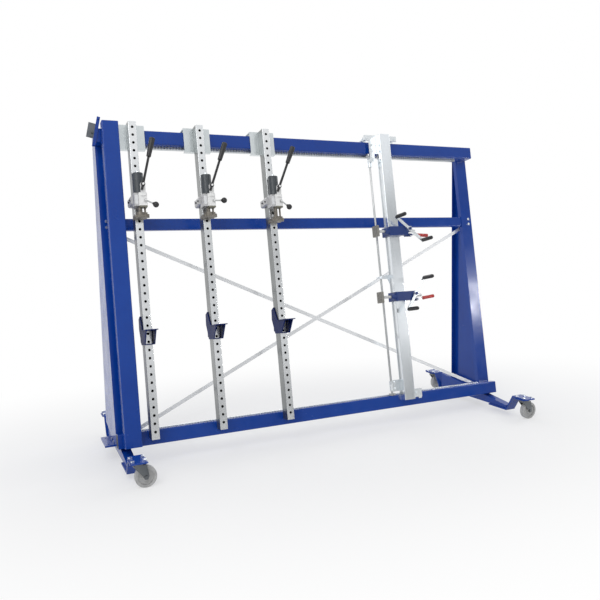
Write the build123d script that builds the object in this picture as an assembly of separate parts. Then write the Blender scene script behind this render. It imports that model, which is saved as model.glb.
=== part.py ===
from build123d import *
import math
import os

os.makedirs("parts", exist_ok=True)

# Leaning press frame on castors. Millimetres, Z up, X along the rails, -Y is the working side.

# The working plane leans back. Lean coordinates are x, depth behind the beam fronts, height along the beams.
lean_angle = 9.6
lean_foot_y = -317.5
lean = Pos(0, lean_foot_y, 0) * Rot(-lean_angle, 0, 0)
lean_sin = math.sin(math.radians(lean_angle))
lean_cos = math.cos(math.radians(lean_angle))

# Clearances
slide_gap = 1.0
pin_gap = 0.3
glide_gap = 0.3
cut = 1.0

# Frame
frame_half = 1475.0
sheet = 5.0
leg_width = 100.0
leg_lip = 30.0
rear_flange = 40.0
rear_edge_y = 312.5
web_rise = 10.0
web_toe = 20.0
base_toe = 30.0
lip_rise = 20.0

# Rails stand behind the beams
beam_depth = 80.0
rail_space = 12.0
rail_front = beam_depth + rail_space
rail_depth = 80.0
rail_height = 90.0
rail_wall = 4.0
rail_round = 8.0
top_rail_bottom = 2050.0
low_rail_bottom = 140.0
mid_rail_bottom = 1504.0
mid_rail_height = 77.0
mid_rail_depth = 40.0
rail_back = rail_front + rail_depth
leg_back = rail_back + sheet
top_rail_top = top_rail_bottom + rail_height
low_rail_top = low_rail_bottom + rail_height
leg_low_rise = 1.0
leg_rise = 20.0
leg_bottom = low_rail_bottom + leg_low_rise
leg_top = top_rail_top + leg_rise

# Racks and the pinions that run along them
rack_pitch = 20.0
rack_set = 38.0
rack_tip = rail_front + rack_set
rack_width = 34.0
rack_back = rack_tip + rack_width
rack_tooth = 8.0
rack_thick = 16.0
low_rack_thick = 6.0
rack_in = 135.0
rack_half = frame_half - rack_in
pinion_teeth = 8
pinion_width = 14.0
pinion_tooth = 7.0
rack_gap = 0.5
shaft_gap = 2.0
shaft_radius = 8.0
shaft_set = 13.0
shaft_depth = rail_front + shaft_set

# Braces
brace_in = 45.0
brace_half = frame_half - brace_in
brace_low_rise = 47.0
brace_low = low_rail_bottom + brace_low_rise
brace_high_rise = 6.0
brace_high = mid_rail_bottom + brace_high_rise
brace_width = 25.0
brace_thick = 4.0
brace_gap = 0.2
falling_front = leg_back + mid_rail_depth + brace_gap
rising_front = falling_front + brace_thick + brace_gap
tab_thick = 6.0
tab_inner = 83.0
low_tab_below = 25.0
low_tab_above = 38.0
high_tab_half = 40.0

# Feet
foot_in = 50.0
foot_centre = frame_half - foot_in
foot_width = 60.0
foot_bottom = 48.0
foot_half = 397.5
foot_front_y = -foot_half
foot_rear_y = foot_half
foot_top_front = 71.5
foot_top_rear = 177.0
arm_thick = 10.0
arm_width = 84.0
arm_root = 217.5
arm_knee_out = 15.0
arm_knee = foot_rear_y + arm_knee_out
arm_slope = 70.0
arm_bend = arm_knee + arm_slope
arm_set = 6.0
arm_flat = 135.0
arm_reach = arm_bend + arm_flat
outrigger_reach = 110.0
outrigger_root = 25.0
outrigger_low = 100.0
outrigger_thick = 12.0
outrigger_centre = 48.0
outrigger_half = 100.0
outrigger_hole = 7.0
outrigger_hole_x = 83.0
outrigger_hole_half = 68.0

# Castors
castor_in = 65.0
castor_y = arm_reach - castor_in
castor_trail = 40.0
wheel_radius = 62.5
wheel_width = 36.0
hub_radius = 21.0
hub_proud = 2.0
hub_width = wheel_width + 2 * hub_proud
axle_radius = 6.0
hub_gap = 1.0
fork_inside = hub_width + 2 * hub_gap
fork_sheet = 4.0
castor_plate = 4.0
castor_plate_half_x = 50.0
castor_plate_half_y = 48.0
swivel_gap = 0.5
swivel_radius = 32.0
crown_gap = 3.0
crown_low = 2 * wheel_radius + crown_gap
crown_thick = 7.0
crown_high = crown_low + crown_thick
swivel_height = 20.0
castor_height = crown_high + swivel_height
crown_lap = 2.0
crown_back = -28.0
crown_front = 46.0
fork_shoulder = 57.0
fork_toe = 9.0
fork_under = 13.0
fork_waist = 22.0
fork_rise = 7.0
axle_nut = 10.0
axle_nut_high = 6.0
axle_end = 2.0
tread_round = 5.0
rim_thick = 16.5
dish_radius = wheel_radius - rim_thick
web_half = 11.0

# Abutment beam
abutment_in = 78.0
abutment_x = -frame_half + abutment_in
abutment_width = 100.0
abutment_depth = 78.0
abutment_low_rise = 10.0
abutment_low = low_rail_bottom + abutment_low_rise
abutment_rise = 20.0
abutment_high = top_rail_top + abutment_rise
abutment_round = 6.0
packer_left = -43.0
packer_width = 40.0
packer_rise = 12.0
packer_height = 66.0

# Tilted end bracket
bracket_in = 3.0
bracket_x = -frame_half + bracket_in
bracket_rise = 65.0
bracket_z = top_rail_bottom + bracket_rise
bracket_tilt = 12.7
bracket_width = 20.0
bracket_half = 98.0
bracket_plate = 53.0
bracket_thick = 6.0
bracket_plate_half = 48.0
bracket_skin = 1.0
bracket_stud = 7.0
bracket_stud_high = 8.0
bracket_boss = 9.0
bracket_boss_high = 10.0
bracket_stud_in = 12.0
bracket_boss_in = 14.0
bracket_studs = ((-22.0, -12.0), (-28.0, -38.0))

# Press beams
first_beam = 211.0
second_beam = 645.0
third_beam = 1112.0
beam_places = (first_beam - frame_half, second_beam - frame_half, third_beam - frame_half)
beam_width = 50.0
beam_wall = 4.0
beam_round = 3.0
glide_half = 20.0
glide_rise = 8.0
glide_under = 12.0
beam_low_rise = 41.0
beam_low = low_rail_bottom + beam_low_rise
beam_rise = 24.0
beam_high = top_rail_top + beam_rise
hole_radius = 8.5
hole_pitch = 50.0
hole_count = 39
hole_top_in = 37.0
hole_top = beam_high - hole_top_in

# Beam carriage
carriage_width = 178.0
carriage_sheet = 6.0
carriage_fall = 46.0
carriage_low = top_rail_bottom - carriage_fall
carriage_rise = 25.0
carriage_high = top_rail_top + carriage_rise
ledge_depth = 32.0
hook_gap = 2.0
hook_thick = 6.0
hook_drop = 40.0
shoe_place = 62.0
shoe_half = 16.0
shoe_inset = 6.0

# Press unit
block_low = 1608.0
block_height = 80.0
block_high = block_low + block_height
block_front = -88.0
block_left = 36.0
block_right = 41.0
block_round = 4.0
block_step = 8.0
step_depth = 12.0
step_front = block_front + step_depth
jaw_rise = 22.0
jaw_height = 56.0
jaw_low = block_low + jaw_rise
jaw_high = jaw_low + jaw_height
jaw_left = 47.0
jaw_front = -20.0
jaw_round = 14.0
strap_thick = 15.0
jaw_bolt = 6.0
jaw_bolt_high = 5.0
jaw_bolts = (6.0, 58.0)
under_plate = 10.0
under_left = 6.0
under_right = 40.0
under_depth = 48.0
cylinder_radius = 33.0
cylinder_wall = 7.0
cylinder_height = 128.0
cylinder_crown = 10.0
cylinder_round = 3.0
cylinder_high = block_high + cylinder_height
cap_radius = 11.0
cap_height = 14.0
press_depth = -50.0
ram_radius = 12.0
guide_radius = 6.0
guide_offset = 30.0
head_height = 33.0
head_margin = 12.0
ram_margin = 4.0
ram_drops = (38.0, 36.0, 66.0)
head_left = 40.0
head_right = 41.0
head_front = -84.0
head_back = -6.0
head_plate = 13.0
head_round = 10.0
column_radius = 26.0
guide_block_half = 14.0
guide_block_left = 14.0
head_lug = 13.0
head_lug_low = 2.0
head_lug_high = 23.0
ear_thick = 7.0
ear_front = -20.0
ear_back = 24.0
ear_height = 24.0
lug_half = 15.0
lug_thick = 10.0
lug_low = 60.0
lug_front = block_front - lug_thick
lever_pivot_x = 18.0
lever_rise = 47.0
lever_pivot_z = block_high + lever_rise
lever_stand = 22.0
lever_depth = block_front - lever_stand
lever_pin = 4.0
lever_pin_head = 7.0
lever_hub = 13.0
lever_half_wide = 7.0
lever_half_thick = 5.0
lever_tail = 38.0
lever_angles = (15.0, 21.5, 24.5)
lever_reach = 300.0
grip_length = 122.0
grip_near = 14.0
grip_far = 18.0
grip_round = 6.0
grip_socket = 20.0
release_x = 29.0
release_rise = 32.0
release_z = block_low + release_rise
release_stand = 6.0
release_depth = block_front - release_stand
release_reach = 67.5
release_pin = 3.0
release_pin_head = 5.5
release_hub = 9.0
release_half_thick = 5.0
release_bar = 5.0
release_angles = (-24.8, 1.3, -36.1)
ball_radius = 18.0
head_gap = 2.0
head_thick = 3.0

# Beam support
support_shelf = 850.0
support_fall = 91.0
support_low = support_shelf - support_fall
support_front = -112.0
support_toe = 74.0
support_sheet = 6.0
shelf_lip = 18.0
shelf_front = support_front - shelf_lip
shelf_half = 38.0
fin_low_depth = 10.0
fin_low_rise = 2.0
fin_back = 32.0
fin_back_rise = 8.0
fin_top_back = 24.0
fin_top_rise = 74.0
fin_tip_depth = 14.0
fin_tip_rise = 90.0
fin_root = 16.0
support_strap = 8.0
strap_fall = 74.0
strap_rise = 64.0

# Movable post
post_in = 880.0
post_x = frame_half - post_in
post_width = 90.0
post_depth = 60.0
post_wall = 4.0
post_round = 5.0
shaft_aside = 42.0
shaft_offset = -post_width / 2 - shaft_aside
post_low_rise = 56.0
post_low = low_rail_bottom + post_low_rise
post_rise = 38.0
post_high = top_rail_top + post_rise
plate = 8.0
roller_radius = 20.0
roller_offset = 120.0
roller_axle = 6.0
roller_width = 32.0
roller_inset = 11.0
roller_collar = 10.0
roller_collar_gap = 1.0
roller_cap = 6.0
steady_height = 1108.0
steady_half = 14.0
steady_sheet = 6.0
steady_lap = 25.0
steady_block_half = 10.0
steady_block_wide = 15.0
steady_block_wall = 14.0
strap_run = 42.0
strap_drop = 96.0
strap_wide = 14.0
strap_start = 15.0
strap_slant = 6.0
strap_from = 8.0
tee_radius = 5.0
tee_length = 28.0
tee_set = 21.0
tee_depth = shaft_depth - tee_set
tee_knob = 8.0
carriage_plate_margin = 22.0
carriage_plate_half = roller_offset + carriage_plate_margin
carriage_plate_rise = 4.0
carriage_plate_height = 40.0
apron_left = 19.0
apron_lap = 1.0
apron_right = post_width / 2 + apron_lap
apron_drop = 100.0
tongue_half = 23.0
tongue_drop = 60.0
sleeve_radius = 16.0
sleeve_length = 68.0
bridge_half = 16.0
bridge_rise = 2.0
bridge_height = 30.0
bridge_inset = 10.0
guide_sleeve = 15.0
guide_low_rise = 60.0
guide_low = low_rail_bottom + guide_low_rise
guide_step = 62.0
guide_height = 83.0
guide_left = 45.0
guide_right = 146.0
guide_sleeve_side = 18.0
wide_pad = 26.0
wide_pad_below = 12.0
wide_pad_height = 58.0
narrow_pad_left = 44.0
narrow_pad = 30.0
narrow_pad_height = 26.0
guide_bridge_half = 14.0
guide_bridge_rise = 8.0
guide_bridge_height = 42.0
guide_sleeve_rise = 74.0

# Clamps on the post
clamp_heights = (1436.0, 953.0)
clamp_names = ("upper", "lower")
pad_thick = 16.0
pad_half_deep = 35.0
pad_half_high = 40.0
pad_round = 4.0
collar_radius = 16.0
collar_length = 14.0
rod_radius = 10.0
rod_depth = -25.0
body_front = -46.0
body_wall = 16.0
body_wall_back = 11.0
body_half = 33.0
body_round = 9.0
clamp_side = post_width / 2 + slide_gap + body_wall
arm_out = 49.0
arm_end = clamp_side + arm_out
arm_lap = 22.0
arm_start = clamp_side - arm_lap
arm_back = -6.0
arm_shoulder = 2.0
arm_slant = 26.0
boss_radius = 22.0
boss_length = 34.0
upper_pad_out = 84.0
lower_pad_out = 99.0
pad_root = -clamp_side - boss_length
pad_faces = (pad_root - upper_pad_out, pad_root - lower_pad_out)
rod_stub = 54.0
rod_end = arm_end + rod_stub
crank_in = 10.0
crank_x = arm_end - crank_in
crank_rise = 12.0
crank_pin = 7.0
crank_hub = 18.0
crank_hub_length = 19.5
crank_hub_gap = 0.5
crank_cap = 11.0
crank_cap_high = 5.5
crank_half = 137.0
crank_half_wide = 11.0
crank_bar = 7.0
crank_bar_inset = 6.5
crank_angles = (140.0, 55.0)
crank_grip = 115.0
crank_grip_radius = 12.5
crank_grip_round = 5.0
red_out = 19.0
red_x = arm_end + red_out
red_drop = -28.0
red_pin = 3.0
red_pin_head = 6.0
red_pin_head_high = 4.0
red_lug_half = 12.0
red_lug_left = 50.0
red_lug_right = 10.0
red_lug_thick = 10.0
red_hub = 9.0
red_hub_half = 6.0
red_lug_gap = 2.0
red_half_thick = 4.0
red_half_wide = 5.0
red_grip_start = 50.0
red_socket = 10.0
red_reach = 150.0
red_grip = 12.0
red_grip_round = 6.0
red_angles = (-3.0, 6.0)

# Fasteners
bolt_flat = 18.0
bolt_high = 8.0
leg_bolt_in = 36.0
leg_bolt_low = 18.0
leg_bolt_high = 58.0
outrigger_bolt_x = 45.0
outrigger_bolt_half = 38.0
castor_bolt_x = 34.0
castor_bolt_y = 36.0
brace_bolt_in = 55.0


def block(x0, x1, y0, y1, z0, z1):
    return Pos((x0 + x1) / 2, (y0 + y1) / 2, (z0 + z1) / 2) * Box(x1 - x0, y1 - y0, z1 - z0)


def rod_x(radius, x0, x1, y, z):
    return Pos((x0 + x1) / 2, y, z) * Rot(0, 90, 0) * Cylinder(radius, x1 - x0)


def rod_y(radius, x, y0, y1, z):
    return Pos(x, (y0 + y1) / 2, z) * Rot(90, 0, 0) * Cylinder(radius, y1 - y0)


def rod_z(radius, x, y, z0, z1):
    return Pos(x, y, (z0 + z1) / 2) * Cylinder(radius, z1 - z0)


def plate_x(points, x0, x1):
    outline = Polyline(*[(x0, y, z) for y, z in points], close=True)
    return extrude(make_face(outline), amount=x1 - x0, dir=(1, 0, 0))


def plate_y(points, y0, y1):
    outline = Polyline(*[(x, y0, z) for x, z in points], close=True)
    return extrude(make_face(outline), amount=y1 - y0, dir=(0, 1, 0))


def plate_z(points, z0, z1):
    outline = Polyline(*[(x, y, z0) for x, y in points], close=True)
    return extrude(make_face(outline), amount=z1 - z0, dir=(0, 0, 1))


def save(shape, name):
    export_step(shape, "parts/" + name + ".step")


def foot_top(y):
    share = (y - foot_front_y) / (foot_rear_y - foot_front_y)
    return foot_top_front + share * (foot_top_rear - foot_top_front)


def lean_to_world(depth, height):
    return lean_foot_y + height * lean_sin + depth * lean_cos, height * lean_cos - depth * lean_sin


# Rails, in lean coordinates
def rail(half, front, depth, low, height):
    shell = block(-half, half, front, front + depth, low, low + height)
    shell = fillet(shell.edges().filter_by(Axis.X), rail_round)
    inside = block(
        -half - cut, half - rail_wall,
        front + rail_wall, front + depth - rail_wall,
        low + rail_wall, low + height - rail_wall,
    )
    return shell - inside


save(lean * rail(frame_half, rail_front, rail_depth, top_rail_bottom, rail_height), "top_rail")
save(lean * rail(frame_half, rail_front, rail_depth, low_rail_bottom, rail_height), "bottom_rail")
mid_half = frame_half - sheet - slide_gap
save(lean * rail(mid_half, leg_back, mid_rail_depth, mid_rail_bottom, mid_rail_height), "middle_rail")

# Racks, teeth towards the working side
rack_points = [(-rack_half, rack_back)]
tooth_count = int(2 * rack_half / rack_pitch)
for tooth in range(tooth_count):
    start = -rack_half + tooth * rack_pitch
    rack_points.append((start, rack_tip + rack_tooth))
    rack_points.append((start + 0.25 * rack_pitch, rack_tip))
    rack_points.append((start + 0.5 * rack_pitch, rack_tip))
    rack_points.append((start + 0.75 * rack_pitch, rack_tip + rack_tooth))
rack_points.append((rack_half, rack_tip + rack_tooth))
rack_points.append((rack_half, rack_back))
top_rack = lean * plate_z(rack_points, top_rail_bottom - rack_thick, top_rail_bottom)
low_rack = lean * plate_z(rack_points, low_rail_top, low_rail_top + low_rack_thick)
save(Compound([top_rack, low_rack]), "racks")

# End frames, built for the right end from plates that meet edge to face, and mirrored
web_toe_y = lean_to_world(leg_back + web_toe, leg_bottom)[0]
web_points = [
    lean_to_world(rail_back, leg_bottom),
    lean_to_world(rail_back, leg_top),
    (rear_edge_y, lean_to_world(rail_back, leg_top)[1] + web_rise),
    (rear_edge_y, foot_top(rear_edge_y)),
    (web_toe_y, foot_top(web_toe_y)),
]
web_inner = frame_half - sheet
web = plate_x(web_points, web_inner, frame_half)
leg_inner = frame_half - leg_width
leg_face = block(leg_inner, web_inner, rail_back, leg_back, leg_bottom, leg_top)
lip_end = leg_inner + sheet
lip_back = leg_back + leg_lip
lip_break_low = mid_rail_bottom - slide_gap
lip_break_high = mid_rail_bottom + mid_rail_height + slide_gap
low_lip = block(leg_inner, lip_end, leg_back, lip_back, leg_bottom + lip_rise, lip_break_low)
high_lip = block(leg_inner, lip_end, leg_back, lip_back, lip_break_high, leg_top)
tab_start = frame_half - tab_inner
falling_back = falling_front + brace_thick
rising_back = rising_front + brace_thick
low_tab = block(
    tab_start, web_inner, falling_back, falling_back + tab_thick,
    brace_low - low_tab_below, brace_low + low_tab_above,
)
high_tab = block(
    tab_start, web_inner, rising_back, rising_back + tab_thick,
    brace_high - high_tab_half, brace_high + high_tab_half,
)
flange_low = foot_top(rear_edge_y)
flange_high = lean_to_world(rail_back, leg_top)[1] + web_rise
flange_front = rear_edge_y - sheet
flange = block(frame_half - rear_flange, web_inner, flange_front, rear_edge_y, flange_low, flange_high)
base_front = lean_to_world(leg_back + base_toe, leg_bottom)[0]
base_points = [
    (base_front, foot_top(base_front)),
    (flange_front, foot_top(flange_front)),
    (flange_front, foot_top(flange_front) + sheet),
    (base_front, foot_top(base_front) + sheet),
]
base = plate_x(base_points, foot_centre - foot_width / 2, web_inner)
right_plates = [web, flange, base, lean * leg_face, lean * low_lip, lean * high_lip]
left_plates = [mirror(end_plate, about=Plane.YZ) for end_plate in right_plates]
falling_low_tab = lean * low_tab
rising_low_tab = mirror(lean * Pos(0, rising_front - falling_front, 0) * low_tab, about=Plane.YZ)
rising_high_tab = lean * high_tab
falling_high_tab = mirror(lean * Pos(0, falling_front - rising_front, 0) * high_tab, about=Plane.YZ)
save(Compound(right_plates + [falling_low_tab, rising_high_tab]), "right_end_frame")
save(Compound(left_plates + [rising_low_tab, falling_high_tab]), "left_end_frame")


# Braces, crossed behind the rails
def brace(front, low_x, high_x):
    run = high_x - low_x
    rise = brace_high - brace_low
    length = math.hypot(run, rise)
    across_x = -rise / length * brace_width / 2
    across_z = run / length * brace_width / 2
    points = [
        (low_x + across_x, brace_low + across_z),
        (high_x + across_x, brace_high + across_z),
        (high_x - across_x, brace_high - across_z),
        (low_x - across_x, brace_low - across_z),
    ]
    return plate_y(points, front, front + brace_thick)


save(lean * brace(falling_front, brace_half, -brace_half), "falling_brace")
save(lean * brace(rising_front, -brace_half, brace_half), "rising_brace")

# Feet with raised castor arms and outrigger plates
foot_points = [
    (foot_front_y, foot_bottom),
    (foot_rear_y, foot_bottom),
    (foot_rear_y, foot_top_rear),
    (foot_front_y, foot_top_front),
]
foot_inside = [
    (foot_front_y + sheet, foot_bottom - cut),
    (foot_rear_y - sheet, foot_bottom - cut),
    (foot_rear_y - sheet, foot_top_rear - sheet - cut),
    (foot_front_y + sheet, foot_top_front - sheet),
]
foot_shell = plate_x(foot_points, foot_centre - foot_width / 2, foot_centre + foot_width / 2)
foot_void = plate_x(foot_inside, foot_centre - foot_width / 2 + sheet, foot_centre + foot_width / 2 - sheet)
arm_top = castor_height + arm_thick
arm_points = [
    (-arm_root, foot_bottom - arm_thick),
    (-arm_knee, foot_bottom - arm_thick),
    (-arm_bend, castor_height),
    (-arm_reach, castor_height),
    (-arm_reach, arm_top),
    (-arm_bend + arm_set, arm_top),
    (-arm_knee + arm_set, foot_bottom),
    (-arm_root, foot_bottom),
]
front_arm = plate_x(arm_points, foot_centre - arm_width / 2, foot_centre + arm_width / 2)
rear_arm = mirror(front_arm, about=Plane.XZ)
plate_low = castor_height - castor_plate
front_plate = block(
    foot_centre - castor_plate_half_x, foot_centre + castor_plate_half_x,
    -castor_y - castor_plate_half_y, -castor_y + castor_plate_half_y, plate_low, castor_height,
)
rear_plate = mirror(front_plate, about=Plane.XZ)
outrigger_high = outrigger_low + outrigger_thick
outrigger = block(
    foot_centre + outrigger_root, foot_centre + outrigger_reach,
    outrigger_centre - outrigger_half, outrigger_centre + outrigger_half, outrigger_low, outrigger_high,
)
for hole_side in (-1, 1):
    hole_y = outrigger_centre + hole_side * outrigger_hole_half
    hole = rod_z(
        outrigger_hole, foot_centre + outrigger_hole_x, hole_y, outrigger_low - cut, outrigger_high + cut,
    )
    outrigger = outrigger - hole
right_foot = (foot_shell - foot_void) + front_arm + rear_arm + front_plate + rear_plate + outrigger
save(right_foot, "right_foot")
save(mirror(right_foot, about=Plane.YZ), "left_foot")

# Castors, each with its wheel trailing towards +X
fork_outside = fork_inside / 2 + fork_sheet
swivel_top = plate_low - swivel_gap
fork_top = crown_low + crown_lap
leg_points = [
    (crown_back, fork_top), (crown_front, fork_top), (fork_shoulder, wheel_radius + fork_rise),
    (castor_trail + fork_toe, wheel_radius - fork_under),
    (castor_trail - fork_toe, wheel_radius - fork_under),
    (fork_waist, wheel_radius + fork_rise),
]
fork = rod_z(swivel_radius, 0, 0, crown_high - cut, swivel_top)
fork = fork + block(crown_back, crown_front, -fork_outside, fork_outside, crown_low, crown_high)
fork = fork + plate_y(leg_points, fork_inside / 2, fork_outside)
fork = fork + plate_y(leg_points, -fork_outside, -fork_inside / 2)
axle_half = fork_outside + axle_end
fork = fork + rod_y(axle_radius, castor_trail, -axle_half, axle_half, wheel_radius)
nut_end = fork_outside + axle_nut_high
fork = fork + rod_y(axle_nut, castor_trail, fork_outside, nut_end, wheel_radius)
fork = fork + rod_y(axle_nut, castor_trail, -nut_end, -fork_outside, wheel_radius)
tread = fillet(rod_y(wheel_radius, 0, -wheel_width / 2, wheel_width / 2, 0).edges(), tread_round)
dish_end = wheel_width / 2 + cut
dish = rod_y(dish_radius, 0, web_half, dish_end, 0) + rod_y(dish_radius, 0, -dish_end, -web_half, 0)
wheel = (tread - dish) + rod_y(hub_radius, 0, -hub_width / 2, hub_width / 2, 0)
wheel = wheel - rod_y(axle_radius + pin_gap, 0, -hub_width / 2 - cut, hub_width / 2 + cut, 0)
for corner, side_x, side_y in (("fl", -1, -1), ("fr", 1, -1), ("rl", -1, 1), ("rr", 1, 1)):
    swivel = Pos(side_x * foot_centre, side_y * castor_y, 0)
    save(swivel * fork, "castor_fork_" + corner)
    save(swivel * Pos(castor_trail, 0, wheel_radius) * wheel, "castor_wheel_" + corner)

# Abutment beam, packed off the rails
abutment_left = abutment_x - abutment_width / 2
abutment_right = abutment_x + abutment_width / 2
abutment = block(abutment_left, abutment_right, 0, abutment_depth, abutment_low, abutment_high)
abutment = fillet(abutment.edges().filter_by(Axis.Z), abutment_round)
abutment = abutment - block(
    abutment_left + sheet, abutment_right - sheet, sheet, abutment_depth - sheet,
    abutment_low - cut, abutment_high - sheet,
)
packer_x = abutment_x + packer_left
for pack_low in (low_rail_bottom + packer_rise, top_rail_bottom + packer_rise):
    pack_high = pack_low + packer_height
    abutment = abutment + block(
        packer_x, packer_x + packer_width, abutment_depth, rail_front, pack_low, pack_high,
    )
save(lean * abutment, "abutment_beam")

# Tilted bracket on the left end of the top rail
bracket = block(-bracket_width / 2, bracket_width / 2, -bracket_thick, 0, -bracket_half, bracket_half)
bracket = bracket + block(
    -bracket_plate, 0, -bracket_thick + bracket_skin, -bracket_skin, -bracket_plate_half, bracket_plate_half,
)
stud_front = -bracket_thick - bracket_stud_high
bracket = bracket + rod_y(bracket_stud, 0, stud_front, 0, bracket_half - bracket_stud_in)
for stud_x, stud_z in bracket_studs:
    bracket = bracket + rod_y(bracket_stud, stud_x, stud_front, -bracket_skin, stud_z)
bracket = bracket + rod_y(
    bracket_boss, 0, -bracket_thick - bracket_boss_high, 0, -bracket_half + bracket_boss_in,
)
bracket_place = lean * Pos(bracket_x, rail_front, bracket_z) * Rot(0, bracket_tilt, 0)
save(bracket_place * bracket, "end_bracket")

# Frame bolts, one hex head each
hex_head = extrude(RegularPolygon(bolt_flat / 2, 6, major_radius=False), amount=bolt_high)
bolts = []
for side in (-1, 1):
    for bolt_z in (mid_rail_bottom + leg_bolt_low, mid_rail_bottom + leg_bolt_high):
        bolts.append(
            lean * Pos(side * (frame_half - leg_bolt_in), rail_back, bolt_z) * Rot(90, 0, 0) * hex_head,
        )
    for bolt_side in (-1, 1):
        bolt_y = outrigger_centre + bolt_side * outrigger_bolt_half
        bolts.append(Pos(side * (foot_centre + outrigger_bolt_x), bolt_y, outrigger_high) * hex_head)
    for end in (-1, 1):
        for place_x in (-castor_bolt_x, castor_bolt_x):
            for place_y in (-castor_bolt_y, castor_bolt_y):
                spot = Pos(side * (foot_centre + place_x), end * castor_y + place_y, arm_top)
                bolts.append(spot * hex_head)
low_back = falling_back + tab_thick
high_back = rising_back + tab_thick
brace_ends = (
    (1, brace_low, low_back), (-1, brace_low, high_back),
    (1, brace_high, high_back), (-1, brace_high, low_back),
)
for side, bolt_z, back in brace_ends:
    bolts.append(lean * Pos(side * (frame_half - brace_bolt_in), back, bolt_z) * Rot(-90, 0, 0) * hex_head)
save(Compound(bolts), "frame_bolts")


# Press beams, each with carriage, press unit and support
def tube(x, width, depth, wall, low, high, rounding):
    body = block(x - width / 2, x + width / 2, 0, depth, low, high)
    body = fillet(body.edges().filter_by(Axis.Z), rounding)
    inside = block(x - width / 2 + wall, x + width / 2 - wall, wall, depth - wall, low - cut, high - wall)
    return body - inside


def press_beam(x):
    body = tube(x, beam_width, beam_depth, beam_wall, beam_low, beam_high, beam_round)
    heights = [hole_top - hole_pitch * n for n in range(hole_count)]
    drills = [rod_y(hole_radius, x, -cut, beam_depth + cut, height) for height in heights]
    body = body - drills
    glide_low = beam_low + glide_rise
    glide_high = low_rail_top - glide_under
    return body + block(
        x - glide_half, x + glide_half, beam_depth, rail_front - glide_gap, glide_low, glide_high,
    )


def beam_carriage(x):
    left = x - carriage_width / 2
    right = x + carriage_width / 2
    front = beam_depth
    back = front + carriage_sheet
    hook_front = rail_back + hook_gap
    hook_back = hook_front + hook_thick
    roof_low = carriage_high - carriage_sheet
    body = block(left, right, front, back, carriage_low, carriage_high)
    body = body + block(left, right, front, hook_back, roof_low, carriage_high)
    body = body + block(left, right, hook_front, hook_back, top_rail_top - hook_drop, carriage_high)
    body = body + block(left, right, front, front + ledge_depth, carriage_low, carriage_low + carriage_sheet)
    for shoe in (-shoe_place, shoe_place):
        body = body + block(
            x + shoe - shoe_half, x + shoe + shoe_half, rail_front + shoe_inset, rail_back - shoe_inset,
            top_rail_top + glide_gap, roof_low,
        )
    return body


def press_block(x):
    inner = beam_width / 2 + slide_gap
    strap_front = beam_depth + slide_gap
    strap_back = strap_front + strap_thick
    body = block(x - block_left, x + block_right, block_front, -slide_gap, block_low, block_high)
    body = fillet(body.edges().filter_by(Axis.Z).group_by(Axis.Y)[0], block_round)
    body = body - block(
        x - block_left - cut, x - block_step, block_front - cut, step_front, block_low - cut, block_high + cut,
    )
    jaw = block(x - jaw_left, x + block_right, jaw_front, strap_back, jaw_low, jaw_high)
    jaw = fillet(jaw.edges().filter_by(Axis.Y).group_by(Axis.X)[0], jaw_round)
    jaw = jaw - block(x - inner, x + inner, -slide_gap, strap_front, jaw_low - cut, jaw_high + cut)
    body = body + jaw
    pivot_x = x + lever_pivot_x
    body = body + block(
        pivot_x - lug_half, pivot_x + lug_half, lug_front, block_front, block_low + lug_low, lever_pivot_z,
    )
    body = body + rod_y(lug_half, pivot_x, lug_front, block_front, lever_pivot_z)
    under_back = block_front + under_depth
    body = body + block(
        x - under_left, x + under_right, block_front, under_back, block_low - under_plate, block_low,
    )
    bore_low = block_low - under_plate - cut
    body = body - rod_z(ram_radius + pin_gap, x, press_depth, bore_low, block_high + cut)
    body = body - rod_z(guide_radius + pin_gap, x + guide_offset, press_depth, bore_low, block_high + cut)
    lever_front = lever_depth - lever_half_thick - head_gap
    body = body + rod_y(lever_pin, pivot_x, lever_front - cut, lug_front + cut, lever_pivot_z)
    body = body + rod_y(lever_pin_head, pivot_x, lever_front - head_thick, lever_front, lever_pivot_z)
    release_front = release_depth - release_half_thick - head_gap
    body = body + rod_y(release_pin, x + release_x, release_front - cut, block_front + cut, release_z)
    body = body + rod_y(release_pin_head, x + release_x, release_front - head_thick, release_front, release_z)
    bolt_z = (jaw_low + jaw_high) / 2
    bolt_end = x - jaw_left - jaw_bolt_high
    for bolt_depth in jaw_bolts:
        body = body + rod_x(jaw_bolt, bolt_end, x - jaw_left + cut, bolt_depth, bolt_z)
    return body


def press_cylinder(x):
    body = rod_z(cylinder_radius, x, press_depth, block_high, cylinder_high)
    body = fillet(body.edges().sort_by(Axis.Z)[-1], cylinder_round)
    inside = cylinder_radius - cylinder_wall
    body = body - rod_z(inside, x, press_depth, block_high - cut, cylinder_high - cylinder_crown)
    return body + rod_z(cap_radius, x, press_depth, cylinder_high, cylinder_high + cap_height)


def pump_lever(x, angle):
    grip_start = lever_reach - grip_length
    bar = block(
        -lever_half_wide, lever_half_wide, -lever_half_thick,
        lever_half_thick, -lever_tail, grip_start + grip_socket,
    )
    grip = Pos(0, 0, lever_reach - grip_length / 2) * Cone(grip_near, grip_far, grip_length)
    grip = fillet(grip.edges().sort_by(Axis.Z)[-1], grip_round)
    body = bar + rod_y(lever_hub, 0, -lever_half_thick, lever_half_thick, 0) + grip
    body = body - rod_y(lever_pin + pin_gap, 0, -lever_half_thick - cut, lever_half_thick + cut, 0)
    return Pos(x + lever_pivot_x, lever_depth, lever_pivot_z) * Rot(0, angle, 0) * body


def release_lever(x, angle):
    body = rod_y(release_hub, 0, -release_half_thick, release_half_thick, 0)
    body = body + rod_x(release_bar, 0, release_reach, 0, 0)
    body = body + Pos(release_reach, 0, 0) * Sphere(ball_radius)
    body = body - rod_y(release_pin + pin_gap, 0, -release_half_thick - cut, release_half_thick + cut, 0)
    return Pos(x + release_x, release_depth, release_z) * Rot(0, -angle, 0) * body


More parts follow.
